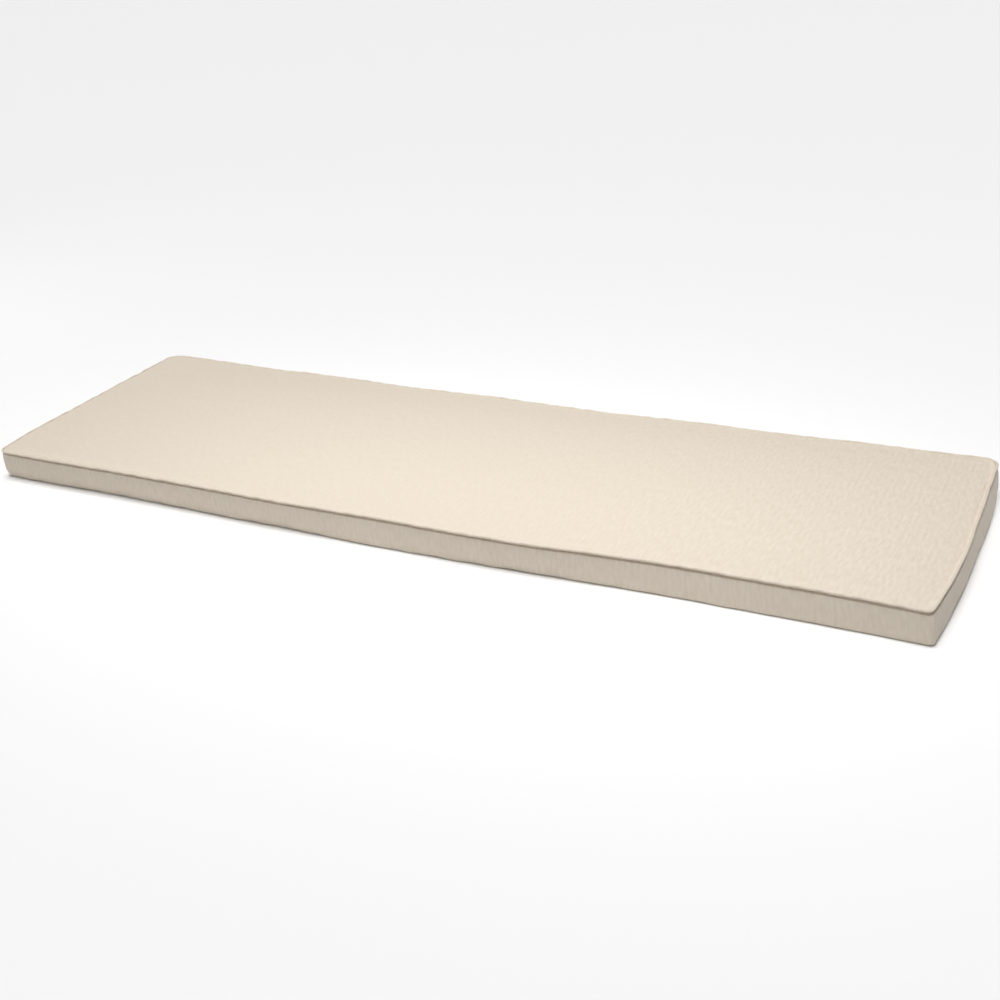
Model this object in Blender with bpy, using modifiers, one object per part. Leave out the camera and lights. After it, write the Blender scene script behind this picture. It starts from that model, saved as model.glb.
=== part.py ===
"""A long, thin box cushion for a bench swing: one filled body and the welt sewn round its top seam.

Metres, +Z up. The cushion lies on its base panel, with its length along X and its front towards -Y.
The origin is the middle of the base.
"""

import math
from collections import namedtuple

import bmesh
import bpy
import numpy as np
from mathutils import Vector

# Sewn size of the cover, seam to seam.
LENGTH = 1.520
DEPTH = 0.450
SEAM_HEIGHT = 0.0482
CROWN = 0.0075
WELT_DIAMETER = 0.005
SEAM_GAP = 0.0003

# The crown climbs from every edge and levels out by this distance inwards.
CROWN_REACH = DEPTH / 2
CROWN_POWER = 2.6

# The back corners are cut round in plan. The front ones are turned almost square.
BACK_LEFT_RADIUS = 0.028
BACK_RIGHT_RADIUS = 0.019

# The welt's centre, measured from the edge where the top panel meets the boxing.
WELT_OUT = -0.0006
WELT_UP = 0.0012
WELT_ROUNDNESS = 2

# The plain seam round the base is turned a little softly. The top seam is a full crease.
BASE_CREASE = 0.22
TOP_CREASE = 1.0
TOP_SEAM = 0

# Faces of the base this near to one plane, in degrees, are one face.
FLAT_ANGLE = 0.01

# Lines of the coarse cage. The edge lines are measured in from each side.
EDGE_LINES = (0.013, 0.026)
LENGTH_SPANS = 20
DEPTH_SPANS = 6

# The boxing from the base panel up: height, and how far it swells past the line from base to seam.
Course = namedtuple("Course", "height swell")
BOXING = (
    Course(0.000, -0.0010),
    Course(0.013, 0.0012),
    Course(0.034, 0.0016),
    Course(SEAM_HEIGHT, 0.0),
)

# How far each side stands out of its straight line, in millimetres, at the top seam and at the base.
# Along is in metres, from the left end on the front and back, and from the front on the two ends.
Station = namedtuple("Station", "along seam base")
FRONT = (
    Station(0.00, -2.0, -4.5),
    Station(0.10, 0.0, -4.0),
    Station(0.22, -1.0, -5.0),
    Station(0.34, 0.0, -2.5),
    Station(0.45, 2.5, 1.0),
    Station(0.56, 5.5, 2.0),
    Station(0.72, 3.5, 7.0),
    Station(0.87, 6.0, 5.0),
    Station(0.98, 5.0, 2.0),
    Station(1.06, -2.0, 0.5),
    Station(1.20, -7.5, -2.0),
    Station(1.30, -5.5, -0.5),
    Station(1.42, -6.0, 0.5),
    Station(1.52, 0.0, 3.5),
)
BACK = (
    Station(0.00, 5.0, 2.0),
    Station(0.06, 6.5, 3.0),
    Station(0.12, 5.0, 3.0),
    Station(0.22, -1.0, 0.0),
    Station(0.36, 2.0, 2.0),
    Station(0.55, -5.0, -1.0),
    Station(0.68, 0.0, 2.0),
    Station(0.80, -4.0, 0.0),
    Station(0.90, -7.0, -2.0),
    Station(1.04, 0.0, 1.0),
    Station(1.22, -2.5, 0.0),
    Station(1.33, 3.5, 2.0),
    Station(1.42, 1.0, 2.0),
    Station(1.52, 5.0, 2.0),
)
LEFT_END = (
    Station(0.00, 4.0, 2.0),
    Station(0.06, 7.0, 5.0),
    Station(0.10, 6.5, 6.0),
    Station(0.15, 4.0, 6.0),
    Station(0.22, 1.0, 4.0),
    Station(0.30, -1.5, 1.0),
    Station(0.36, -4.0, -2.0),
    Station(0.41, -7.0, -4.0),
    Station(0.45, -7.0, -6.0),
)
RIGHT_END = (
    Station(0.00, -3.0, 3.0),
    Station(0.04, 0.0, 6.0),
    Station(0.09, 4.0, 9.0),
    Station(0.16, 6.5, 12.0),
    Station(0.23, 4.0, 12.0),
    Station(0.29, 2.0, 12.0),
    Station(0.34, 1.5, 12.0),
    Station(0.38, 2.0, 9.0),
    Station(0.45, 3.0, 2.0),
)

CANVAS = (0.79, 0.69, 0.57)
CANVAS_ROUGHNESS = 0.9


def clear_scene():
    for thing in list(bpy.data.objects):
        bpy.data.objects.remove(thing, do_unlink=True)


def collection(name):
    made = bpy.data.collections.new(name)
    bpy.context.scene.collection.children.link(made)
    return made


def fabric(name, colour):
    """A plain matt finish for one piece."""
    material = bpy.data.materials.new(name)
    material.use_nodes = True
    shader = material.node_tree.nodes["Principled BSDF"]
    shader.inputs["Base Color"].default_value = (*colour, 1.0)
    shader.inputs["Roughness"].default_value = CANVAS_ROUGHNESS
    shader.inputs["Metallic"].default_value = 0.0
    return material


def standing_out(side, along, rise):
    """How far a side stands out at one place, from the base (rise 0) to the top seam (rise 1)."""
    places = [station.along for station in side]
    at_base = np.interp(along, places, [station.base for station in side])
    at_seam = np.interp(along, places, [station.seam for station in side])
    return 0.001 * (at_base + rise * (at_seam - at_base))


def swelling(height):
    """How far the filling pushes the boxing out at one height."""
    return np.interp(height, [course.height for course in BOXING], [course.swell for course in BOXING])


def climb(inwards):
    """The share of the crown reached at a distance in from one edge."""
    left = 1.0 - min(max(inwards / CROWN_REACH, 0.0), 1.0)
    return 1.0 - left**CROWN_POWER


def crown(x, y):
    """Height of the top panel above the seam."""
    return CROWN * climb(min(x, LENGTH - x)) * climb(min(y, DEPTH - y))


def round_back_corner(x, y):
    """Turns the square of plan round a back corner's centre into a quarter disc."""
    radius = BACK_LEFT_RADIUS if x < LENGTH / 2 else BACK_RIGHT_RADIUS
    centre_x = min(max(x, radius), LENGTH - radius)
    centre_y = min(y, DEPTH - radius)
    across, along = x - centre_x, y - centre_y
    reach = math.hypot(across, along)
    if reach == 0.0:
        return x, y
    share = max(abs(across), abs(along)) / reach
    return centre_x + share * across, centre_y + share * along


def filled(x, y, z):
    """Moves a point of the square cage to where it lies on the filled cushion."""
    rise = round(z / SEAM_HEIGHT, 4)
    swell = swelling(z)
    left = standing_out(LEFT_END, y, rise) + swell
    right = standing_out(RIGHT_END, y, rise) + swell
    front = standing_out(FRONT, x, rise) + swell
    back = standing_out(BACK, x, rise) + swell
    share_x, share_y = x / LENGTH, y / DEPTH
    height = z + crown(x, y) if rise == 1.0 else z
    plan_x, plan_y = round_back_corner(x, y)
    plan_x += share_x * right - (1.0 - share_x) * left
    plan_y += share_y * back - (1.0 - share_y) * front
    return Vector((plan_x, plan_y, height))


def cage_lines(size, spans):
    """Places of the cage's cuts along one side: close together near both ends, even between them."""
    inner = np.linspace(EDGE_LINES[-1], size - EDGE_LINES[-1], spans + 1)
    near = list(EDGE_LINES[:-1])
    return near + list(inner) + [size - place for place in near]


def cut_across(cage, axis, places):
    """Cuts the whole cage by planes square to one axis."""
    for place in places:
        geometry = cage.verts[:] + cage.edges[:] + cage.faces[:]
        bmesh.ops.bisect_plane(cage, geom=geometry, plane_co=axis * place, plane_no=axis)


def square_cage():
    """A plain box of the sewn size, cut by the cage's lines."""
    cage = bmesh.new()
    bmesh.ops.create_cube(cage, size=1.0)
    for corner in cage.verts:
        x, y, z = corner.co + Vector((0.5, 0.5, 0.5))
        corner.co = Vector((x * LENGTH, y * DEPTH, z * SEAM_HEIGHT))
    cut_across(cage, Vector((1, 0, 0)), cage_lines(LENGTH, LENGTH_SPANS))
    cut_across(cage, Vector((0, 1, 0)), cage_lines(DEPTH, DEPTH_SPANS))
    cut_across(cage, Vector((0, 0, 1)), [course.height for course in BOXING[1:-1]])
    cage.normal_update()
    return cage


def crease_seams(cage):
    """Keeps both seams as edges when the cage is smoothed, and marks the points of the top one."""
    crease = cage.edges.layers.float.new("crease_edge")
    marks = cage.verts.layers.deform.verify()
    for edge in cage.edges:
        level = [abs(face.normal.z) > 0.5 for face in edge.link_faces]
        if level[0] == level[1]:
            continue
        on_top = edge.verts[0].co.z > SEAM_HEIGHT / 2
        edge[crease] = TOP_CREASE if on_top else BASE_CREASE
        for end in edge.verts:
            end[marks][TOP_SEAM] = float(on_top)


def make_cushion(parts):
    """The filled body: the box cage moved to its filled shape, then smoothed."""
    cage = square_cage()
    crease_seams(cage)
    for point in cage.verts:
        point.co = filled(*point.co)
    mesh = bpy.data.meshes.new("cushion")
    cage.to_mesh(mesh)
    cage.free()
    mesh.shade_smooth()
    mesh.materials.append(fabric("woven canvas", CANVAS))
    cushion = bpy.data.objects.new("cushion", mesh)
    cushion.vertex_groups.new(name="top seam")
    parts.objects.link(cushion)
    smoothing = cushion.modifiers.new("smooth", "SUBSURF")
    smoothing.levels = 1
    smoothing.render_levels = 1
    flat_base = cushion.modifiers.new("one flat base panel", "DECIMATE")
    flat_base.decimate_type = "DISSOLVE"
    flat_base.angle_limit = math.radians(FLAT_ANGLE)
    return cushion


def evaluated(thing):
    bpy.context.view_layer.update()
    return thing.evaluated_get(bpy.context.evaluated_depsgraph_get())


def top_seam(cushion):
    """The points of the top seam in order round the cushion."""
    middle = Vector((LENGTH / 2, DEPTH / 2, SEAM_HEIGHT))
    points = []
    for point in evaluated(cushion).data.vertices:
        if any(mark.weight > 0.99 for mark in point.groups):
            points.append(point.co.copy())
    return sorted(points, key=lambda point: math.atan2(point.y - middle.y, point.x - middle.x))


def welt_line(seam):
    """The welt's centre line, beside the seam and a little above it."""
    line = []
    for before, here, after in zip(seam[-1:] + seam[:-1], seam, seam[1:] + seam[:1]):
        forward = ((here - before).normalized() + (after - here).normalized()).normalized()
        outwards = Vector((forward.y, -forward.x, 0.0)).normalized()
        line.append(here + outwards * WELT_OUT + Vector((0.0, 0.0, WELT_UP)))
    return line


def cord_mesh(name, line, radius):
    """A closed round cord along a ring of points, as a mesh."""
    curve = bpy.data.curves.new(name, "CURVE")
    curve.dimensions = "3D"
    curve.twist_mode = "Z_UP"
    curve.bevel_depth = radius
    curve.bevel_resolution = WELT_ROUNDNESS
    spline = curve.splines.new("POLY")
    spline.points.add(len(line) - 1)
    for point, place in zip(spline.points, line):
        point.co = (*place, 1.0)
    spline.use_cyclic_u = True
    guide = bpy.data.objects.new(name, curve)
    bpy.context.scene.collection.objects.link(guide)
    mesh = bpy.data.meshes.new_from_object(evaluated(guide))
    mesh.name = name
    bpy.data.objects.remove(guide, do_unlink=True)
    shape = bmesh.new()
    shape.from_mesh(mesh)
    bmesh.ops.recalc_face_normals(shape, faces=shape.faces)
    shape.to_mesh(mesh)
    shape.free()
    mesh.shade_smooth()
    return mesh


def make_welt(parts, line):
    """The slim self-fabric welt sewn into the top seam all the way round."""
    welt = bpy.data.objects.new("welt", cord_mesh("welt", line, WELT_DIAMETER / 2))
    welt.data.materials.append(fabric("welt canvas", CANVAS))
    parts.objects.link(welt)
    return welt


def cut_seat(cushion, cutters, line):
    """Hollows the cushion's top edge to take the welt."""
    radius = WELT_DIAMETER / 2 + SEAM_GAP
    cutter = bpy.data.objects.new("welt seat", cord_mesh("welt seat", line, radius))
    cutter.hide_render = True
    cutter.display_type = "WIRE"
    cutters.objects.link(cutter)
    seat = cushion.modifiers.new("welt seat", "BOOLEAN")
    seat.operation = "DIFFERENCE"
    seat.solver = "EXACT"
    seat.object = cutter
    return cutter


def centre_on_base(things, cushion):
    """Moves everything so that the origin is the middle of the cushion's base."""
    corners = [Vector(corner) for corner in evaluated(cushion).bound_box]
    low_x, high_x = min(c.x for c in corners), max(c.x for c in corners)
    low_y, high_y = min(c.y for c in corners), max(c.y for c in corners)
    low_z = min(c.z for c in corners)
    for thing in things:
        thing.location = (-(low_x + high_x) / 2, -(low_y + high_y) / 2, -low_z)


def main():
    clear_scene()
    parts = collection("swing seat cushion")
    cutters = collection("cutters")
    cushion = make_cushion(parts)
    line = welt_line(top_seam(cushion))
    welt = make_welt(parts, line)
    cutter = cut_seat(cushion, cutters, line)
    centre_on_base((cushion, welt, cutter), cushion)


main()
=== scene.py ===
"""Looks of a long, thin box cushion for a swing seat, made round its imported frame.

Metres, +Z up. The length lies along X with the front towards -Y, and the base rests on z = 0.
The cover is shaped in its sewn plan, from the front left corner (0, 0) to (LENGTH, DEPTH), and then
moved to the frame's middle.
"""

import math
from collections import namedtuple

import bpy
import numpy as np
from mathutils import Matrix, Vector
from mathutils.kdtree import KDTree


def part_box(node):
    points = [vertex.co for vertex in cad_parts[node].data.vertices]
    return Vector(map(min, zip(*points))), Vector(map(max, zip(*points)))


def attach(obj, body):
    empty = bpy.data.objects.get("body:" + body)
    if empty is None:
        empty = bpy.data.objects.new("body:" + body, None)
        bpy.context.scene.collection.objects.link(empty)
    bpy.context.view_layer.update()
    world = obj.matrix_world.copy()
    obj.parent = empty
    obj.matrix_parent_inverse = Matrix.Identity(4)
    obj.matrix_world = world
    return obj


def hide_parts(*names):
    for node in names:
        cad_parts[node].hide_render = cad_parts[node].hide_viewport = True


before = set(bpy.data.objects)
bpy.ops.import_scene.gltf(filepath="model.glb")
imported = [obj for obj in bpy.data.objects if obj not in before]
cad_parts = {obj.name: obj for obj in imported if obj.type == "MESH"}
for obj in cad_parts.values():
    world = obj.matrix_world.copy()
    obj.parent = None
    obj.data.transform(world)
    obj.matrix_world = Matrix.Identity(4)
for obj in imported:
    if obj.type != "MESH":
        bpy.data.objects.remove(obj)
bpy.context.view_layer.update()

MM = 0.001

# Sewn size of the cover, seam to seam, and the height of the crown over the top seam.
LENGTH = 1.520
DEPTH = 0.450
SEAM_HEIGHT = 0.0482
CROWN = 0.0075
CROWN_REACH_LEFT = 0.225
CROWN_REACH_RIGHT = 0.130
CROWN_POWER = 2.6

# The panel also rolls over more steeply close to its two ends, most at the right one.
END_ROLL_LEFT = 2.8 * MM
END_ROLL_RIGHT = 4.2 * MM
END_ROLL_REACH = 20.0 * MM

# The corners as cut in plan.
FRONT_LEFT_RADIUS = 0.013
FRONT_RIGHT_RADIUS = 0.007
BACK_LEFT_RADIUS = 0.021
BACK_RIGHT_RADIUS = 0.023

# Straight runs between a table's rows are rounded over this distance, as cloth bends.
SIDE_EASE = 0.055
BOXING_EASE = 0.008

# The boxing's section, in millimetres: height over the base, and how far the filling swells it.
Course = namedtuple("Course", "height swell")
BOXING = (
    Course(0.0, -1.0),
    Course(13.0, 1.2),
    Course(34.0, 1.6),
    Course(48.2, 0.0),
)

# The plain seam round the base: the edge's rounding, how far it draws in and over what height, and the
# pinch of the seam line.
BASE_ROUND = 1.6 * MM
BASE_DRAWN_IN = 1.8 * MM
BASE_DRAWN_REACH = 5.0 * MM
SEAM_PINCH = 0.25 * MM
PINCH_HEIGHT = 1.1 * MM
PINCH_WIDTH = 0.7 * MM

# The boxing tucks in under the welt: how far, how deep below the seam, and half the height of the tuck.
TUCK = 3.2 * MM
TUCK_DEPTH = 2.7 * MM
TUCK_HALF = 1.45 * MM

# How far each side stands out of its straight line, in millimetres, at the top seam and at the base.
# Along is in metres, from the left end on the front and back, and from the front on the two ends.
# Valley is how deep the top panel dips there along the inner edge of the seam allowance, in millimetres.
Station = namedtuple("Station", "along seam base valley")
FRONT = (
    Station(0.00, -2.0, -7.5, 0.8),
    Station(0.10, 0.0, -7.0, 1.6),
    Station(0.22, -1.0, -7.5, 1.9),
    Station(0.34, 0.0, -5.0, 1.6),
    Station(0.45, 2.5, -1.5, 0.9),
    Station(0.56, 5.5, -0.5, 0.3),
    Station(0.72, 3.5, 6.0, 0.0),
    Station(0.87, 6.0, 4.0, 0.2),
    Station(0.98, 5.0, 1.0, 0.8),
    Station(1.06, -2.0, -0.5, 0.5),
    Station(1.20, -7.5, -3.0, 0.0),
    Station(1.30, -5.5, -1.5, 0.0),
    Station(1.42, -5.0, -0.5, 0.1),
    Station(1.52, 0.5, 2.5, 0.4),
)
BACK = (
    Station(0.00, 6.2, 3.2, -0.3),
    Station(0.06, 7.7, 4.2, -0.3),
    Station(0.12, 6.2, 4.2, -0.3),
    Station(0.22, 0.2, 1.2, -0.3),
    Station(0.36, 3.2, 3.2, -0.3),
    Station(0.55, -3.8, 0.2, -0.3),
    Station(0.68, 1.2, 3.2, -0.3),
    Station(0.80, -2.8, 1.2, -0.3),
    Station(0.90, -5.8, -0.8, -0.3),
    Station(1.04, 1.2, 2.2, -0.3),
    Station(1.22, -1.3, 1.2, -0.3),
    Station(1.33, 4.7, 3.2, -0.3),
    Station(1.42, 2.2, 3.2, -0.3),
    Station(1.52, 6.2, 3.2, -0.3),
)
LEFT_END = (
    Station(0.00, 1.5, 7.0, 0.2),
    Station(0.06, 6.5, 7.0, -0.2),
    Station(0.10, 6.0, 6.0, -0.3),
    Station(0.15, 3.5, 6.0, -0.3),
    Station(0.22, 0.5, 4.0, -0.3),
    Station(0.30, -2.0, 1.0, -0.3),
    Station(0.36, -4.5, -2.0, -0.3),
    Station(0.41, -7.5, -4.0, -0.3),
    Station(0.45, -7.5, -6.0, -0.3),
)
RIGHT_END = (
    Station(0.00, -5.0, 2.0, 0.5),
    Station(0.04, -0.5, 5.0, 0.9),
    Station(0.09, 4.0, 8.0, 1.0),
    Station(0.16, 6.5, 11.0, 1.0),
    Station(0.23, 4.5, 11.0, 1.1),
    Station(0.29, 3.0, 11.0, 1.4),
    Station(0.34, 2.0, 11.5, 1.8),
    Station(0.38, 1.0, 9.0, 2.2),
    Station(0.45, -1.0, 2.0, -0.6),
)

# How far in from each side's seam the valley runs, how wide it is, and how far its depth varies along it.
VALLEYS_IN = {"front": 12.0 * MM, "back": 5.0 * MM, "left": 5.0 * MM, "right": 5.0 * MM}
VALLEY_WIDTHS = {"front": 4.0 * MM, "back": 2.6 * MM, "left": 2.6 * MM, "right": 2.6 * MM}
VALLEY_EASE = 2.0 * MM
VALLEY_UNEVEN = 0.3
VALLEY_WAVE = 0.022

# The welt, a slim cord in the same canvas. Its centre is measured from the top seam, in millimetres. It
# stands up along the front and right end, and the filling rolls it over the edge along the back and left.
Roll = namedtuple("Roll", "out up")
ROLLS = {
    "front": Roll(-0.2, 0.9),
    "back": Roll(1.0, -0.5),
    "left": Roll(0.6, -0.3),
    "right": Roll(-0.4, 1.3),
}
ROLL_EASE = 9.0 * MM
WELT_RADIUS = 1.95 * MM
WELT_GAP = 0.15 * MM
WELT_SIDES = 14
WELT_STEP = 2.0 * MM
WELT_UNEVEN = 0.07
WELT_WANDER = 0.25 * MM
WELT_WAVE = 0.030
WELT_BUMP_SCALE = 90.0
WELT_BUMP_DETAIL = 1.5
SAME_POINT = 0.1 * MM

# The cover is pushed clear of the welt within this distance in from the seam, and above this height.
NEAR_WELT = 8.0 * MM
NEAR_WELT_HEIGHT = 0.8 * SEAM_HEIGHT
CLEAR_STEP = 0.4 * MM

# Gathers that the back seam draws in the top panel. Along in metres, reach, lean and depth in millimetres:
# how far each one runs in from the seam, how far left it leans over that run, and how deep it is.
Gather = namedtuple("Gather", "along reach lean depth")
GATHERS = (
    Gather(0.300, 14.0, 4.0, 0.6),
    Gather(0.350, 24.0, 7.0, 1.2),
    Gather(0.380, 20.0, 6.0, 1.3),
    Gather(0.405, 24.0, 7.0, 1.1),
    Gather(0.427, 14.0, 4.0, 0.6),
    Gather(0.445, 17.0, 5.0, 0.7),
    Gather(0.520, 24.0, 7.0, 1.2),
    Gather(0.555, 18.0, 5.0, 0.8),
)
GATHER_WIDTH = 2.1 * MM
GATHER_FADE = 1.3

# Lines of the cover's grid: how far in from the edges of a panel, and how high on the boxing.
PANEL_EDGE = np.array([0, 0.7, 1.4, 2.1, 2.9, 3.8, 4.8, 5.8, 6.8, 7.9, 9.2, 10.6, 12.0, 13.5, 15.5, 19.0,
                       26.0]) * MM
BOXING_ROWS = np.array([48.2, 47.6, 47.0, 46.4, 45.7, 45.0, 44.3, 43.7, 43.1, 42.5, 41.8, 40.8, 39.0, 36.0,
                        31.5, 26.5, 21.5, 16.0, 11.0, 7.5, 5.0, 3.6, 2.6, 1.9, 1.4, 1.0, 0.6, 0.0]) * MM
LENGTH_STEP = 4.7 * MM
DEPTH_STEP = 9.0 * MM
GATHER_STRETCH = (0.27, 0.58)
GATHER_STEP = 2.0 * MM

# The filling: a coarser cover, which starts with a share of the crown, is blown up by a steady pressure with
# its seams and base held. No point of it may move further than the last value.
TRIAL_EDGE = np.array([0, 4.0, 9.0, 16.0]) * MM
TRIAL_ROWS = np.array([48.2, 44.0, 37.5, 30.0, 22.0, 14.0, 7.0, 0.0]) * MM
TRIAL_STEP = 9.0 * MM
TRIAL_CROWN = 0.80
TRIAL_CLOTH = {
    "quality": 6,
    "mass": 0.3,
    "tension_stiffness": 25.0,
    "compression_stiffness": 25.0,
    "shear_stiffness": 8.0,
    "bending_stiffness": 6.0,
    "use_pressure": True,
    "uniform_pressure_force": 4.0,
    "vertex_group_mass": "held",
}
FRAMES = 20
MOST_MOVED = 5.0 * MM

# Soft unevenness of the filled cloth: its size and wavelength, on the top panel and round the boxing. It
# grows over the settled reach from the panel's edge, slants up the boxing, and fades quickly over the base.
TOP_UNEVEN = 0.12 * MM
TOP_WAVE = 0.150
SETTLED_REACH = 0.020
BOXING_UNEVEN = 0.30 * MM
BOXING_WAVE = 0.070
BOXING_SLANT = 0.3
BASE_UNEVEN = 0.45 * MM
BASE_WAVE = 0.045
BASE_FADE = 4

# Each soft surface is a sum of this many waves, their lengths spread between these shares of the named one.
WAVES = 14
WAVE_SPREAD = (0.7, 1.5)


def eased(places, values, reach, step):
    """Reads a table as one smooth line: the runs between its rows, rounded over the given reach."""
    fine = np.arange(places[0], places[-1] + step / 2, step)
    run = np.interp(fine, places, values)
    count = max(round(reach / step), 1)
    before = 2 * run[0] - run[count:0:-1]
    after = 2 * run[-1] - run[-2:-count - 2:-1]
    weights = 1.0 - np.abs(np.arange(-count, count + 1)) / (count + 1)
    smooth = np.convolve(np.concatenate([before, run, after]), weights / weights.sum(), mode="valid")
    return lambda where: np.interp(where, fine, smooth)


def side_line(side, column):
    places = [station.along for station in side]
    values = [getattr(station, column) * MM for station in side]
    return eased(places, values, SIDE_EASE, MM)


Side = namedtuple("Side", "seam base valley")
SIDES = {
    name: Side(*(side_line(table, column) for column in Side._fields))
    for name, table in (("front", FRONT), ("back", BACK), ("left", LEFT_END), ("right", RIGHT_END))
}
filling_swell = eased(
    [course.height * MM for course in BOXING],
    [course.swell * MM for course in BOXING],
    BOXING_EASE,
    0.2 * MM,
)


def unevenness(x, y, wave, seed):
    """A soft random surface of unit strength: plane waves of about one length in mixed directions."""
    chance = np.random.default_rng(seed)
    total = np.zeros_like(x)
    for _ in range(WAVES):
        heading, phase = chance.uniform(0.0, 2 * math.pi, 2)
        turns = 2 * math.pi / (wave * chance.uniform(*WAVE_SPREAD))
        total += np.sin(turns * (x * math.cos(heading) + y * math.sin(heading)) + phase)
    return total / math.sqrt(WAVES / 2)


def boxing_profile(z):
    """How far the boxing stands out at a height: its swell, less the tuck and the base's edge and seam."""
    tuck = TUCK * np.exp(-(((SEAM_HEIGHT - z - TUCK_DEPTH) / TUCK_HALF) ** 4))
    over = np.clip(BASE_ROUND - z, 0.0, BASE_ROUND)
    rounding = BASE_ROUND - np.sqrt(BASE_ROUND**2 - over**2)
    pinch = SEAM_PINCH * np.exp(-(((z - PINCH_HEIGHT) / PINCH_WIDTH) ** 2))
    drawn_in = BASE_DRAWN_IN * np.exp(-z / BASE_DRAWN_REACH)
    return filling_swell(z) - tuck - rounding - pinch - drawn_in


def climb(inwards, reach):
    """The share of the crown reached at a distance in from one edge."""
    return 1.0 - (1.0 - np.clip(inwards / reach, 0.0, 1.0)) ** CROWN_POWER


def crown(x, y):
    """The top panel's height over the seam."""
    ends = climb(x, CROWN_REACH_LEFT) * climb(LENGTH - x, CROWN_REACH_RIGHT)
    sides = climb(np.minimum(y, DEPTH - y), DEPTH / 2)
    end_roll = np.where(x < LENGTH / 2, END_ROLL_LEFT, END_ROLL_RIGHT)
    rolled = 1.0 - np.exp(-np.minimum(x, LENGTH - x) / END_ROLL_REACH)
    return (CROWN - end_roll) * ends * sides + end_roll * rolled * sides


def rounded_corners(x, y):
    """Turns the square of plan at each corner into a quarter disc."""
    at_left = x < LENGTH / 2
    at_front_corners = np.where(at_left, FRONT_LEFT_RADIUS, FRONT_RIGHT_RADIUS)
    at_back_corners = np.where(at_left, BACK_LEFT_RADIUS, BACK_RIGHT_RADIUS)
    radius = np.where(y < DEPTH / 2, at_front_corners, at_back_corners)
    centre_x = np.clip(x, radius, LENGTH - radius)
    centre_y = np.clip(y, radius, DEPTH - radius)
    across, along = x - centre_x, y - centre_y
    reach = np.hypot(across, along)
    longest = np.maximum(np.abs(across), np.abs(along))
    share = np.divide(longest, reach, out=np.ones_like(reach), where=reach > 0.0)
    return centre_x + share * across, centre_y + share * along


def filled(x, y, z, profile, crown_share=1.0):
    """Moves points of the square box to where they lie on the filled cushion."""
    rise = z / SEAM_HEIGHT

    def standing_out(name, along):
        side = SIDES[name]
        return side.base(along) + rise * (side.seam(along) - side.base(along)) + profile

    share_x, share_y = x / LENGTH, y / DEPTH
    plan_x, plan_y = rounded_corners(x, y)
    plan_x = plan_x + share_x * standing_out("right", y) - (1.0 - share_x) * standing_out("left", y)
    plan_y = plan_y + share_y * standing_out("back", x) - (1.0 - share_y) * standing_out("front", x)
    on_top = np.isclose(z, SEAM_HEIGHT)
    return np.column_stack([plan_x, plan_y, z + on_top * crown_share * crown(x, y)])


Box = namedtuple("Box", "place faces corners rim top base boxing")


def box_grid(xs, ys, zs):
    """A box's surface cut by the given lines: the top panel, the base panel and the boxing's rows between.

    place holds each point of the unfilled box, and corners each face corner's place in the flat cloth.
    """
    across, along = len(xs), len(ys)
    number = np.arange(across * along).reshape(across, along)
    plan = np.stack(np.meshgrid(xs, ys, indexing="ij"), axis=-1).reshape(-1, 2)
    rim = np.concatenate([number[:-1, 0], number[-1, :-1], number[:0:-1, -1], number[0, :0:-1]])
    base = number + number.size
    rows = [rim]
    places = [np.column_stack([plan, np.full(len(plan), z)]) for z in (zs[0], zs[-1])]
    for count, z in enumerate(zs[1:-1]):
        rows.append(np.arange(len(rim)) + 2 * number.size + count * len(rim))
        places.append(np.column_stack([plan[rim], np.full(len(rim), z)]))
    rows.append(rim + number.size)
    rows = np.array(rows)

    four_corners = [number[:-1, :-1], number[1:, :-1], number[1:, 1:], number[:-1, 1:]]
    quads = np.stack(four_corners, axis=-1).reshape(-1, 4)
    under = quads[:, ::-1] + number.size
    after = np.roll(rows, -1, axis=1)
    band = np.stack([rows[:-1], rows[1:], after[1:], after[:-1]], axis=-1).reshape(-1, 4)

    lengths = np.linalg.norm(np.diff(np.vstack([plan[rim], plan[rim[:1]]]), axis=0), axis=1)
    start = np.concatenate([[0.0], np.cumsum(lengths)])
    height = np.array(zs) - SEAM_HEIGHT
    here, there = np.meshgrid(start[:-1], height[:-1])
    next_here, next_there = np.meshgrid(start[1:], height[1:])
    band_cloth = np.stack(
        [
            np.stack([here, there], axis=-1),
            np.stack([here, next_there], axis=-1),
            np.stack([next_here, next_there], axis=-1),
            np.stack([next_here, there], axis=-1),
        ],
        axis=2,
    ).reshape(-1, 4, 2)
    below = np.array([0.0, -2.0 * SEAM_HEIGHT - DEPTH])
    cloth = np.concatenate([plan[quads], plan[under - number.size] + below, band_cloth])
    return Box(
        place=np.concatenate(places),
        faces=np.concatenate([quads, under, band]),
        corners=cloth.reshape(-1, 2),
        rim=rim,
        top=number,
        base=base,
        boxing=rows,
    )


def grid_lines(size, edge, step):
    """Lines across a panel: close together near both edges, even between them."""
    count = math.ceil((size - 2 * edge[-1]) / step)
    middle = np.linspace(edge[-1], size - edge[-1], count + 1)
    return np.concatenate([edge[:-1], middle, size - edge[-2::-1]])


def closer_lines(lines, start, end, step):
    """The same lines, with closer ones between two places."""
    between = np.arange(start, end, step)
    kept = [place for place in lines if not start - step / 2 < place < end]
    return np.array(sorted([*kept, *between]))


def mesh_object(name, points, faces, cloth=None):
    """A smooth mesh object, with its flat cloth places as its UV map."""
    mesh = bpy.data.meshes.new(name)
    mesh.from_pydata(points.tolist(), [], faces.tolist())
    if cloth is not None:
        mesh.uv_layers.new(name="UVMap").data.foreach_set("uv", cloth.astype(np.float32).ravel())
    mesh.shade_smooth()
    made = bpy.data.objects.new(name, mesh)
    bpy.context.scene.collection.objects.link(made)
    return made


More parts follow.
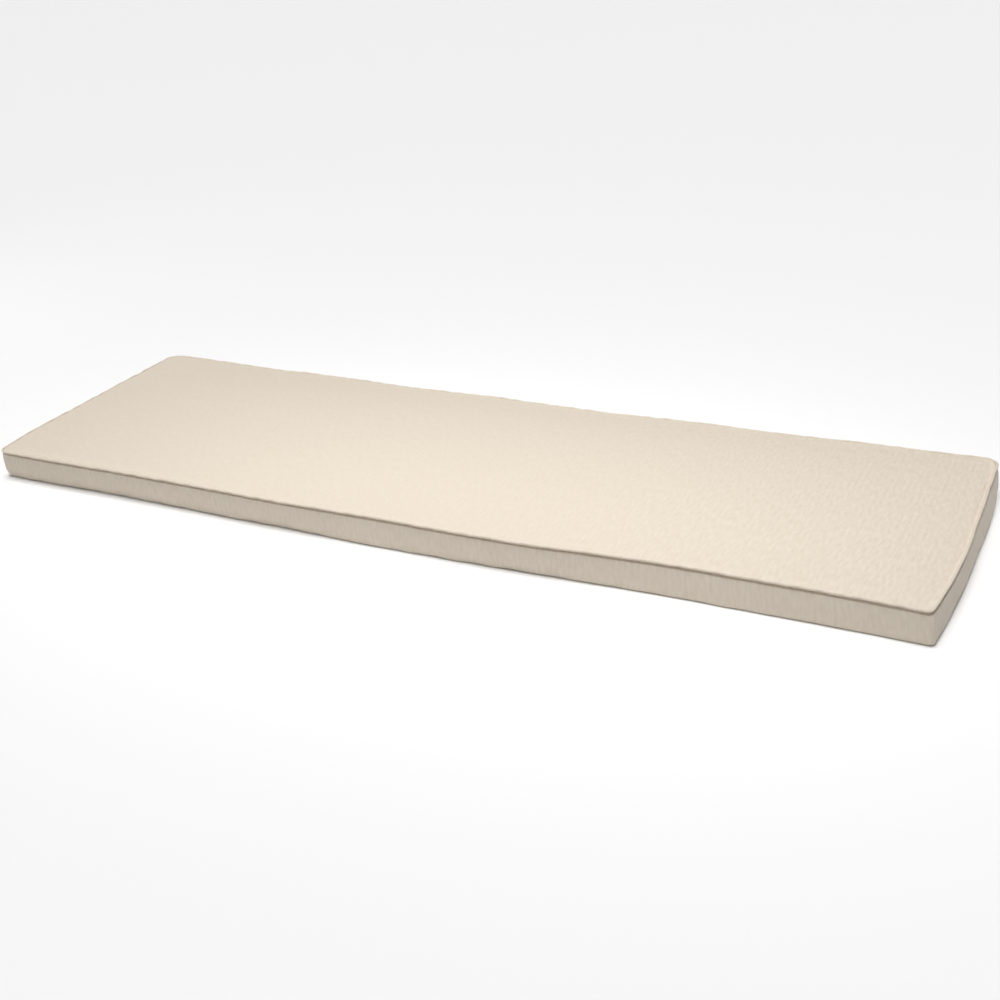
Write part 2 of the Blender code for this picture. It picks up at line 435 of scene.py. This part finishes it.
def blown_up(trial, points):
    """Blows the trial cover up with its seams and base held, and returns how far each point moves."""
    piece = mesh_object("filling trial", points, trial.faces)
    held = np.unique(np.concatenate([trial.base.ravel(), trial.rim]))
    piece.vertex_groups.new(name="held").add(held.tolist(), 1.0, "REPLACE")
    modifier = piece.modifiers.new("filling", "CLOTH")
    for name, value in TRIAL_CLOTH.items():
        setattr(modifier.settings, name, value)
    modifier.settings.effector_weights.gravity = 0.0
    modifier.collision_settings.use_collision = False
    modifier.point_cache.frame_end = FRAMES
    for step in range(1, FRAMES + 1):
        bpy.context.scene.frame_set(step)
    result = piece.evaluated_get(bpy.context.evaluated_depsgraph_get()).data
    after = np.empty(len(points) * 3, np.float32)
    result.vertices.foreach_get("co", after)
    moved = after.reshape(-1, 3) - points
    bpy.data.objects.remove(piece, do_unlink=True)
    far = np.maximum(np.linalg.norm(moved, axis=1, keepdims=True), 1e-9)
    return moved * np.minimum(1.0, MOST_MOVED / far)


def read_smoothly(values, known, wanted):
    """Values known along the first axis at some places, read at others on a smooth curve."""
    slopes = np.gradient(values, known, axis=0)
    at = np.clip(np.searchsorted(known, wanted, side="right") - 1, 0, len(known) - 2)
    span = (known[at + 1] - known[at]).reshape(-1, *[1] * (values.ndim - 1))
    t = ((wanted - known[at]) / span.ravel()).reshape(span.shape)
    return (
        (2 * t**3 - 3 * t**2 + 1) * values[at]
        + (t**3 - 2 * t**2 + t) * span * slopes[at]
        + (3 * t**2 - 2 * t**3) * values[at + 1]
        + (t**3 - t**2) * span * slopes[at + 1]
    )


def rim_distance(box):
    """How far along the rim each rim point of the unfilled box is."""
    plan = box.place[box.rim, :2]
    steps = np.linalg.norm(np.diff(plan, axis=0), axis=1)
    return np.concatenate([[0.0], np.cumsum(steps)])


def filling_moves(cover, xs, ys):
    """What the filling does to each point of the cover, read from the coarser trial."""
    trial_xs = grid_lines(LENGTH, TRIAL_EDGE, TRIAL_STEP)
    trial_ys = grid_lines(DEPTH, TRIAL_EDGE, TRIAL_STEP)
    trial = box_grid(trial_xs, trial_ys, TRIAL_ROWS)
    start = filled(*trial.place.T, filling_swell(trial.place[:, 2]), TRIAL_CROWN)
    moved = blown_up(trial, start)
    middle = trial.top[len(trial_xs) // 2, len(trial_ys) // 2]
    moved *= (1.0 - TRIAL_CROWN) * CROWN / moved[middle, 2]

    moves = np.zeros_like(cover.place)
    panel = read_smoothly(moved[trial.top], trial_xs, xs)
    moves[cover.top] = read_smoothly(panel.transpose(1, 0, 2), trial_ys, ys).transpose(1, 0, 2)
    round_trial = np.append(rim_distance(trial), 2 * (LENGTH + DEPTH))
    rows = np.concatenate([moved[trial.boxing], moved[trial.boxing][:, :1]], axis=1)
    strip = read_smoothly(rows.transpose(1, 0, 2), round_trial, rim_distance(cover)).transpose(1, 0, 2)
    strip = read_smoothly(strip[::-1], TRIAL_ROWS[::-1], BOXING_ROWS[::-1])[::-1]
    moves[cover.boxing[1:-1]] = strip[1:-1]
    return moves


def inwards_of_edge(x, y):
    return np.minimum(np.minimum(x, LENGTH - x), np.minimum(y, DEPTH - y))


def mixed_sides(x, y, ease, front, back, left, right):
    """Values of the four sides at points of the plan, mixed by how near each side is."""
    near = np.stack([y, DEPTH - y, x, LENGTH - x])
    weight = 1.0 / (near + ease) ** 2
    values = np.stack([np.broadcast_to(value, x.shape) for value in (front, back, left, right)])
    return (weight * values).sum(axis=0) / weight.sum(axis=0)


def valley(x, y):
    """How deep the top panel dips along the inner edge of the seam allowance."""
    lines = {name: side.valley(x if name in ("front", "back") else y) for name, side in SIDES.items()}
    depth = mixed_sides(x, y, VALLEY_EASE, **lines)
    middle = mixed_sides(x, y, VALLEY_EASE, **VALLEYS_IN)
    width = mixed_sides(x, y, VALLEY_EASE, **VALLEY_WIDTHS)
    varied = 1.0 + VALLEY_UNEVEN * unevenness(x, y, VALLEY_WAVE, seed=6)
    return depth * varied * np.exp(-(((inwards_of_edge(x, y) - middle) / width) ** 2))


def gather_relief(x, y):
    """Height of the gathers at the back seam: narrow troughs between soft folds, fading inwards."""
    relief = np.zeros_like(x)
    for gather in GATHERS:
        run = np.clip((DEPTH - y) / (gather.reach * MM), 0.0, 1.0)
        middle = gather.along - gather.lean * MM * run
        offset = (x - middle) / GATHER_WIDTH
        trough = (1.0 - offset**2) * np.exp(-(offset**2) / 2)
        relief -= gather.depth * MM * trough * (1.0 - run) ** GATHER_FADE
    return relief


def welt_line():
    """The welt's centre line, run round the top seam with a slight wander and back to its start."""
    xs = grid_lines(LENGTH, PANEL_EDGE, WELT_STEP)
    ys = grid_lines(DEPTH, PANEL_EDGE, WELT_STEP)
    start = len(xs) // 3
    plan = np.concatenate(
        [
            np.column_stack([xs[start:0:-1], np.full(start, DEPTH)]),
            np.column_stack([np.zeros(len(ys) - 1), ys[:0:-1]]),
            np.column_stack([xs[:-1], np.zeros(len(xs) - 1)]),
            np.column_stack([np.full(len(ys) - 1, LENGTH), ys[:-1]]),
            np.column_stack([xs[:start - 1:-1], np.full(len(xs) - start, DEPTH)]),
        ]
    )
    seam = filled(plan[:, 0], plan[:, 1], np.full(len(plan), SEAM_HEIGHT), 0.0, 0.0)
    out, up = (
        mixed_sides(*plan.T, ROLL_EASE, **{name: getattr(roll, way) * MM for name, roll in ROLLS.items()})
        for way in Roll._fields
    )
    seam, out, up = np.split(spread_evenly(np.column_stack([seam, out, up]), WELT_STEP), (3, 4), axis=1)
    forward = np.roll(seam[:-1], -1, axis=0) - np.roll(seam[:-1], 1, axis=0)
    forward = np.vstack([forward, forward[:1]])
    forward /= np.linalg.norm(forward, axis=1, keepdims=True)
    outwards = np.column_stack([forward[:, 1], -forward[:, 0], np.zeros(len(forward))])
    wander = WELT_WANDER * unevenness(seam[:, 0], seam[:, 1], WELT_WAVE, seed=4)
    lift = WELT_WANDER * unevenness(seam[:, 0], seam[:, 1], WELT_WAVE, seed=5)
    line = seam + outwards * (out + wander[:, None])
    line[:, 2] += up[:, 0] + lift
    line[-1] = line[0]
    return line


def spread_evenly(line, step):
    """Points of a closed line at even steps, the first repeated at the end. Further columns go along."""
    closed = np.vstack([line, line[:1]])
    length = np.concatenate([[0.0], np.cumsum(np.linalg.norm(np.diff(closed[:, :3], axis=0), axis=1))])
    wanted = np.linspace(0.0, length[-1], round(length[-1] / step) + 1)
    return np.column_stack([np.interp(wanted, length, column) for column in closed.T])


def kept_clear(points, which, line, radius):
    """Pushes the chosen points straight out of a cord that runs along the line."""
    tree = KDTree(len(line))
    for number, place in enumerate(line):
        tree.insert(place, number)
    tree.balance()
    forward = np.gradient(line, axis=0)
    forward /= np.linalg.norm(forward, axis=1, keepdims=True)
    for number in which:
        nearest = tree.find(points[number])[1]
        away = points[number] - line[nearest]
        away -= forward[nearest] * (away @ forward[nearest])
        distance = np.linalg.norm(away)
        if distance < radius:
            points[number] += away * (radius / distance - 1.0)
    return points


def make_cover(line):
    """The filled canvas body: top panel, boxing and base panel in one closed piece."""
    xs = closer_lines(grid_lines(LENGTH, PANEL_EDGE, LENGTH_STEP), *GATHER_STRETCH, GATHER_STEP)
    ys = grid_lines(DEPTH, PANEL_EDGE, DEPTH_STEP)
    cover = box_grid(xs, ys, BOXING_ROWS)
    x, y, z = cover.place.T
    top, base = cover.top.ravel(), cover.base.ravel()
    on_boxing = np.zeros(len(x), bool)
    on_boxing[cover.boxing[1:]] = True
    profile = np.where(on_boxing, boxing_profile(z), 0.0)
    profile[base] = boxing_profile(0.0)
    points = filled(x, y, z, profile, TRIAL_CROWN) + filling_moves(cover, xs, ys)

    inwards = inwards_of_edge(x, y)
    settled = 1.0 - np.exp(-((inwards[top] / SETTLED_REACH) ** 2))
    points[top, 2] += TOP_UNEVEN * settled * unevenness(x[top], y[top], TOP_WAVE, seed=1)
    points[top, 2] += gather_relief(x[top], y[top]) - valley(x[top], y[top])

    strip = cover.boxing[1:-1].ravel()
    outwards = outward_of_side(x[strip], y[strip])
    height = z[strip] / SEAM_HEIGHT
    ripple = unevenness(x[strip], y[strip] + BOXING_SLANT * z[strip], BOXING_WAVE, seed=2)
    ripple *= BOXING_UNEVEN * np.sin(math.pi * height)
    low = BASE_UNEVEN * (1.0 - height) ** BASE_FADE * unevenness(x[strip], y[strip], BASE_WAVE, seed=3)
    points[strip, :2] += outwards * (ripple + low)[:, None]
    edge = cover.boxing[-1]
    low = BASE_UNEVEN * unevenness(x[edge], y[edge], BASE_WAVE, seed=3)
    points[edge, :2] += outward_of_side(x[edge], y[edge]) * low[:, None]

    near_seam = ((z == SEAM_HEIGHT) & (inwards < NEAR_WELT)) | (on_boxing & (z > NEAR_WELT_HEIGHT))
    fine_line = spread_evenly(line[:-1], CLEAR_STEP)
    points = kept_clear(points, np.flatnonzero(near_seam), fine_line, WELT_RADIUS + WELT_GAP)
    return mesh_object("filled_cover", points, cover.faces, cover.corners)


def outward_of_side(x, y):
    """Unit directions out of the side that each rim point lies on, turned at the corners."""
    east = (x >= LENGTH).astype(float) - (x <= 0.0)
    north = (y >= DEPTH).astype(float) - (y <= 0.0)
    out = np.column_stack([east, north])
    return out / np.maximum(np.linalg.norm(out, axis=1, keepdims=True), 1.0)


# The two kinds of node that are used most. A noise node keeps to about a quarter either side of its middle,
# so its swing from there is multiplied up to about one.
NOISE = "ShaderNodeTexNoise"
MATHS = "ShaderNodeMath"
NOISE_MIDDLE = 0.5
NOISE_SWING = 4.0


def add_node(tree, kind, inputs=None, **settings):
    """Adds a node. settings are its own properties, and inputs its sockets' values or their links."""
    made = tree.nodes.new(kind)
    for name, value in settings.items():
        setattr(made, name, value)
    for socket, value in (inputs or {}).items():
        if isinstance(value, bpy.types.NodeSocket):
            tree.links.new(value, made.inputs[socket])
        else:
            made.inputs[socket].default_value = value
    return made


def plain_mesh(thing, name):
    """Makes a plain mesh object at the origin from an object's evaluated shape, and removes the object."""
    bpy.context.view_layer.update()
    mesh = bpy.data.meshes.new_from_object(thing.evaluated_get(bpy.context.evaluated_depsgraph_get()))
    mesh.name = name
    bpy.data.objects.remove(thing, do_unlink=True)
    made = bpy.data.objects.new(name, mesh)
    bpy.context.scene.collection.objects.link(made)
    return made


def welt_tree():
    """A cord along the curve it is given, a little uneven, with its length and turn as the UV map."""
    tree = bpy.data.node_groups.new("welt cord", "GeometryNodeTree")
    sockets = tree.interface
    kinds = {
        "Geometry": "Geometry",
        "Radius": "Float",
        "Unevenness": "Float",
        "Sides": "Int",
        "Material": "Material",
    }
    for name, kind in kinds.items():
        sockets.new_socket(name, in_out="INPUT", socket_type="NodeSocket" + kind)
    sockets.new_socket("Geometry", in_out="OUTPUT", socket_type="NodeSocketGeometry")
    given = add_node(tree, "NodeGroupInput").outputs

    upright = add_node(tree, "GeometryNodeSetCurveNormal", {"Curve": given["Geometry"]}, mode="Z_UP")
    along = add_node(tree, "GeometryNodeCaptureAttribute", {"Geometry": upright.outputs["Curve"]})
    along.capture_items.new("FLOAT", "Length")
    parameter = add_node(tree, "GeometryNodeSplineParameter")
    tree.links.new(parameter.outputs["Length"], along.inputs["Length"])

    place = add_node(tree, "GeometryNodeInputPosition")
    bumps = add_node(
        tree,
        NOISE,
        {"Vector": place.outputs["Position"], "Scale": WELT_BUMP_SCALE, "Detail": WELT_BUMP_DETAIL},
    )
    centred = add_node(tree, MATHS, {0: bumps.outputs["Fac"], 1: NOISE_MIDDLE}, operation="SUBTRACT")
    sized = add_node(tree, MATHS, {0: centred.outputs[0], 1: given["Unevenness"]}, operation="MULTIPLY")
    thickness = add_node(tree, MATHS, {0: sized.outputs[0], 1: NOISE_SWING, 2: 1.0}, operation="MULTIPLY_ADD")

    section = add_node(
        tree,
        "GeometryNodeCurveArc",
        {
            "Resolution": given["Sides"],
            "Radius": given["Radius"],
            "Start Angle": math.pi,
            "Sweep Angle": 2 * math.pi,
        },
    )
    turn = add_node(tree, "GeometryNodeCaptureAttribute", {"Geometry": section.outputs["Curve"]})
    turn.capture_items.new("FLOAT", "Turn")
    tree.links.new(parameter.outputs["Length"], turn.inputs["Turn"])

    cord = add_node(
        tree,
        "GeometryNodeCurveToMesh",
        {
            "Curve": along.outputs["Geometry"],
            "Profile Curve": turn.outputs["Geometry"],
            "Scale": thickness.outputs[0],
        },
    )
    cloth = add_node(tree, "ShaderNodeCombineXYZ", {"X": along.outputs["Length"], "Y": turn.outputs["Turn"]})
    mapped = add_node(
        tree,
        "GeometryNodeStoreNamedAttribute",
        {"Geometry": cord.outputs["Mesh"], "Name": "UVMap"},
        data_type="FLOAT2",
        domain="CORNER",
    )
    tree.links.new(cloth.outputs[0], mapped.inputs["Value"])
    closed = add_node(
        tree,
        "GeometryNodeMergeByDistance",
        {"Geometry": mapped.outputs["Geometry"], "Distance": SAME_POINT},
    )
    smooth = add_node(tree, "GeometryNodeSetShadeSmooth", {"Geometry": closed.outputs["Geometry"]})
    real = add_node(tree, "GeometryNodeRealizeInstances", {"Geometry": smooth.outputs["Geometry"]})
    finished = add_node(
        tree,
        "GeometryNodeSetMaterial",
        {"Geometry": real.outputs["Geometry"], "Material": given["Material"]},
    )
    add_node(tree, "NodeGroupOutput", {"Geometry": finished.outputs["Geometry"]})
    return tree


def set_inputs(modifier, tree, values):
    """Sets a Geometry Nodes modifier's inputs by the names of the tree's sockets."""
    for item in tree.interface.items_tree:
        if item.item_type == "SOCKET" and item.in_out == "INPUT" and item.name in values:
            modifier[item.identifier] = values[item.name]


def make_welt(line, material):
    """The slim cord sewn into the top seam all the way round."""
    curve = bpy.data.curves.new("welt line", "CURVE")
    curve.dimensions = "3D"
    spline = curve.splines.new("POLY")
    spline.points.add(len(line) - 1)
    spline.points.foreach_set("co", np.column_stack([line, np.ones(len(line))]).ravel())
    path = bpy.data.objects.new("welt line", curve)
    bpy.context.scene.collection.objects.link(path)
    tree = welt_tree()
    modifier = path.modifiers.new("welt cord", "NODES")
    modifier.node_group = tree
    values = {"Radius": WELT_RADIUS, "Unevenness": WELT_UNEVEN, "Sides": WELT_SIDES, "Material": material}
    set_inputs(modifier, tree, values)
    return plain_mesh(path, "seam_welt")


def linear(code):
    """An sRGB hex colour as linear light."""
    parts = [int(code[place:place + 2], 16) / 255 for place in (0, 2, 4)]
    return [part / 12.92 if part <= 0.04045 else ((part + 0.055) / 1.055) ** 2.4 for part in parts] + [1.0]


def new_material(name):
    material = bpy.data.materials.new(name)
    material.use_nodes = True
    return material, material.node_tree, material.node_tree.nodes["Principled BSDF"]


# The canvas where its yarn is thin and where it is thick, and the tone half way between them.
CANVAS_SHADE = "D2C6B5"
CANVAS_LIGHT = "DFD4C5"
MIDDLE_TONE = 0.5

# Spun yarn in a plain weave. The real yarns lie about 0.6 mm apart, too fine for a view of the whole
# cushion, so they are drawn twice as coarse. Slubs, the thick places of a spun yarn, are too narrow one by
# one as well, and are drawn as wide as a few that lie side by side. Ribs are soft lines that bend a little.
YARN_PITCH = 1.2 * MM
SLUB_WIDTH = 4.4 * MM
SLUB_LENGTH = 15.0 * MM
SLUB_DETAIL = 1.5
RIB_PITCH = 9.1 * MM
RIB_WANDER = 0.8 * MM
RIB_BEND = 0.035

# How far slubs and ribs lighten the canvas, as a share of the way from its darker to its lighter colour.
SLUB_TONE = 1.7
RIB_TONE = 0.08

# Ribs and slubs stand out most towards the right end. Each is a place along the cloth and a strength.
Stretch = namedtuple("Stretch", "place strength")
PLAIN_STRETCH = Stretch(0.80, 0.45)
RIBBED_STRETCH = Stretch(1.45, 1.0)
BOXING_STRENGTH = 0.8

# How the canvas stands out: the yarns' share beside the slubs and ribs, and how strong and deep it all is.
YARN_SHARE = 0.3
BUMP_STRENGTH = 0.5
BUMP_DEPTH = 0.15 * MM

# Acrylic yarn is matt, and its loose fibres give the canvas a slight sheen at a low angle.
CANVAS_FINISH = {
    "Roughness": 0.92,
    "IOR": 1.48,
    "Specular IOR Level": 0.3,
    "Sheen Weight": 0.12,
    "Sheen Roughness": 0.5,
}


def stretch_strength(tree, across, along):
    """How clearly the weave shows: rising to the right end on the top panel, and even on the boxing."""
    rising = add_node(
        tree,
        "ShaderNodeMapRange",
        {
            "Value": across,
            "From Min": PLAIN_STRETCH.place,
            "From Max": RIBBED_STRETCH.place,
            "To Min": PLAIN_STRETCH.strength,
            "To Max": RIBBED_STRETCH.strength,
        },
        interpolation_type="SMOOTHSTEP",
    )
    on_top = add_node(tree, MATHS, {0: along, 1: 0.0}, operation="GREATER_THAN")
    choice = {0: on_top.outputs[0], "A": BOXING_STRENGTH, "B": rising.outputs[0]}
    return add_node(tree, "ShaderNodeMix", choice).outputs[0]


def rib_lines(tree, cloth, across, strength):
    """Soft ribs across the cloth, bent a little by noise."""
    bends = add_node(tree, NOISE, {"Vector": cloth, "Scale": 1 / RIB_BEND, "Detail": 1.0})
    moved = {0: bends.outputs["Fac"], 1: 2 * RIB_WANDER, 2: across}
    bent = add_node(tree, MATHS, moved, operation="MULTIPLY_ADD")
    phase = add_node(tree, MATHS, {0: bent.outputs[0], 1: 2 * math.pi / RIB_PITCH}, operation="MULTIPLY")
    wave = add_node(tree, MATHS, {0: phase.outputs[0]}, operation="SINE")
    return add_node(tree, MATHS, {0: wave.outputs[0], 1: strength}, operation="MULTIPLY").outputs[0]


def slub_spots(tree, cloth):
    """The thick places of the yarn, longer than they are wide, as noise either side of nought."""
    sizes = {"Vector": cloth, "Scale": (1 / SLUB_WIDTH, 1 / SLUB_LENGTH, 1.0)}
    stretched = add_node(tree, "ShaderNodeMapping", sizes).outputs[0]
    spots = add_node(tree, NOISE, {"Vector": stretched, "Scale": 1.0, "Detail": SLUB_DETAIL})
    return add_node(tree, MATHS, {0: spots.outputs["Fac"], 1: NOISE_MIDDLE}, operation="SUBTRACT").outputs[0]


def yarn_crossings(tree, across, along):
    """The plain weave: warp and weft over and under each other, as the product of two waves."""
    waves = []
    for way in (across, along):
        phase = add_node(tree, MATHS, {0: way, 1: math.pi / YARN_PITCH}, operation="MULTIPLY")
        waves.append(add_node(tree, MATHS, {0: phase.outputs[0]}, operation="SINE").outputs[0])
    return add_node(tree, MATHS, dict(enumerate(waves)), operation="MULTIPLY").outputs[0]


def woven_canvas(name, ribs, slubs):
    """Plain woven acrylic canvas, undyed cream: matt, with faint ribs and slubs from front to back."""
    material, tree, shader = new_material(name)
    cloth = add_node(tree, "ShaderNodeUVMap", uv_map="UVMap").outputs["UV"]
    across, along = add_node(tree, "ShaderNodeSeparateXYZ", {0: cloth}).outputs[:2]
    strength = stretch_strength(tree, across, along)
    rib = rib_lines(tree, cloth, across, strength)
    slub = slub_spots(tree, cloth)
    weave = yarn_crossings(tree, across, along)

    thick = add_node(tree, MATHS, {0: slub, 1: SLUB_TONE * slubs}, operation="MULTIPLY")
    both = {0: rib, 1: RIB_TONE * ribs, 2: thick.outputs[0]}
    thick = add_node(tree, MATHS, both, operation="MULTIPLY_ADD")
    mixed = {0: thick.outputs[0], 1: strength, 2: MIDDLE_TONE}
    tone = add_node(tree, MATHS, mixed, operation="MULTIPLY_ADD").outputs[0]
    colour = add_node(tree, "ShaderNodeMix", {0: tone}, data_type="RGBA")
    colour.inputs["A"].default_value = linear(CANVAS_SHADE)
    colour.inputs["B"].default_value = linear(CANVAS_LIGHT)
    tree.links.new(colour.outputs["Result"], shader.inputs["Base Color"])

    raised = {0: weave, 1: YARN_SHARE, 2: tone}
    relief = add_node(tree, MATHS, raised, operation="MULTIPLY_ADD").outputs[0]
    depths = {"Strength": BUMP_STRENGTH, "Distance": BUMP_DEPTH, "Height": relief}
    bump = add_node(tree, "ShaderNodeBump", depths)
    tree.links.new(bump.outputs["Normal"], shader.inputs["Normal"])
    for socket, value in CANVAS_FINISH.items():
        shader.inputs[socket].default_value = value
    return material


# The floor: its colour, how far it reaches each way, how far it lies under the cushion, and its finish.
FLOOR_WHITE = "F8F8F8"
FLOOR_REACH = 30.0
FLOOR_GAP = 0.3 * MM
FLOOR_ROUGHNESS = 0.8


def make_floor():
    """A plain pale floor, wide enough to fill every view, in matt paint that mirrors nothing."""
    corners = FLOOR_REACH * np.array([[-1, -1], [1, -1], [1, 1], [-1, 1]])
    points = np.column_stack([corners, np.full(4, -FLOOR_GAP)])
    floor = mesh_object("floor", points, np.array([[0, 1, 2, 3]]))
    material, _, shader = new_material("painted floor")
    shader.inputs["Base Color"].default_value = linear(FLOOR_WHITE)
    shader.inputs["Roughness"].default_value = FLOOR_ROUGHNESS
    floor.data.materials.append(material)


# Softboxes: where each one hangs, what it faces, its length and width, and its power in watts.
Lamp = namedtuple("Lamp", "name place aim long wide power")
LAMPS = (
    Lamp("front softbox", (0.1, -0.2, 0.55), (0.1, 0.0, 0.0), 1.2, 0.2, 1.53),
    Lamp("left softbox", (-1.9, 0.0, 0.7), (-0.6, 0.0, 0.0), 0.8, 0.8, 1.12),
)

# Far, wide lights that reach the whole floor evenly: where each one comes from, how many degrees of the
# room it fills, and its strength. They face the middle of the floor.
Wide = namedtuple("Wide", "name place spread strength")
WIDE_LIGHTS = (
    Wide("ceiling", (0.0, 0.0, 3.0), 30.0, 2.42),
    Wide("window", (0.0, -1.72, 2.46), 60.0, 0.78),
)
FLOOR_MIDDLE = (0.0, 0.0, 0.0)
ROOM_WHITE = "F4F4F4"


def place_light(light, name, place, aim):
    """Hangs a light at a place, facing what it lights, and out of the camera's sight."""
    made = bpy.data.objects.new(name, light)
    towards = Vector(aim) - Vector(place)
    made.matrix_world = Matrix.Translation(place) @ towards.to_track_quat("-Z", "Y").to_matrix().to_4x4()
    made.visible_camera = False
    bpy.context.scene.collection.objects.link(made)


def make_lights():
    """Plain soft studio light: a lit ceiling, a wide front window and two low softboxes."""
    # The room round the floor is pale where a low view sees it, and adds no light of its own.
    world = bpy.data.worlds.new("studio")
    bpy.context.scene.world = world
    world.use_nodes = True
    world.node_tree.nodes["Background"].inputs["Color"].default_value = linear(ROOM_WHITE)
    world.cycles_visibility.diffuse = False
    world.cycles_visibility.glossy = False
    for wide in WIDE_LIGHTS:
        light = bpy.data.lights.new(wide.name, "SUN")
        light.energy = wide.strength
        light.angle = math.radians(wide.spread)
        place_light(light, wide.name, wide.place, FLOOR_MIDDLE)
    for lamp in LAMPS:
        light = bpy.data.lights.new(lamp.name, "AREA")
        light.shape = "RECTANGLE"
        light.size = lamp.long
        light.size_y = lamp.wide
        light.energy = lamp.power
        place_light(light, lamp.name, lamp.place, lamp.aim)


# The photograph's camera, as fitted to the cushion's edges: metres, degrees, and millimetres for the lens and
# the width of the picture behind it.
CAMERA_PLACE = (1.01097, -1.78863, 0.99841)
CAMERA_AZIMUTH = 28.247
CAMERA_ELEVATION = 26.631
CAMERA_ROLL = -4.465
CAMERA_LENS = 52.28
CAMERA_WIDTH = 36.0
CAMERA_SIGHT = 200.0


def make_camera():
    """The camera at the photograph's place and angle."""
    camera = bpy.data.cameras.new("camera")
    camera.lens = CAMERA_LENS
    camera.sensor_width = CAMERA_WIDTH
    camera.clip_end = CAMERA_SIGHT
    made = bpy.data.objects.new("camera", camera)
    turned = Matrix.Rotation(math.radians(CAMERA_AZIMUTH), 4, "Z")
    tilted = Matrix.Rotation(math.radians(90.0 - CAMERA_ELEVATION), 4, "X")
    rolled = Matrix.Rotation(math.radians(CAMERA_ROLL), 4, "Z")
    made.matrix_world = Matrix.Translation(CAMERA_PLACE) @ turned @ tilted @ rolled
    bpy.context.scene.collection.objects.link(made)
    bpy.context.scene.camera = made


def centre_on_frame(things, cover):
    """Moves the finished meshes so that the cover's middle lies where the frame's solid has its own."""
    low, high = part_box("cushion")
    points = np.empty(len(cover.data.vertices) * 3, np.float32)
    cover.data.vertices.foreach_get("co", points)
    points = points.reshape(-1, 3)
    own = (points.min(axis=0) + points.max(axis=0)) / 2
    move = Matrix.Translation(((low.x + high.x) / 2 - own[0], (low.y + high.y) / 2 - own[1], 0.0))
    for thing in things:
        thing.data.transform(move)


def main():
    bpy.context.scene.view_settings.view_transform = "Standard"
    make_camera()
    make_lights()
    make_floor()
    line = welt_line()
    cover = make_cover(line)
    cover.data.materials.append(woven_canvas("plain woven acrylic canvas", ribs=1.0, slubs=1.0))
    welt = make_welt(line, woven_canvas("plain woven acrylic canvas, cut on the bias", ribs=0.0, slubs=0.6))
    centre_on_frame((cover, welt), cover)
    for piece, node, slot in ((cover, "cushion", "cover"), (welt, "welt", "welt")):
        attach(piece, "root")
        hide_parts(node)


main()
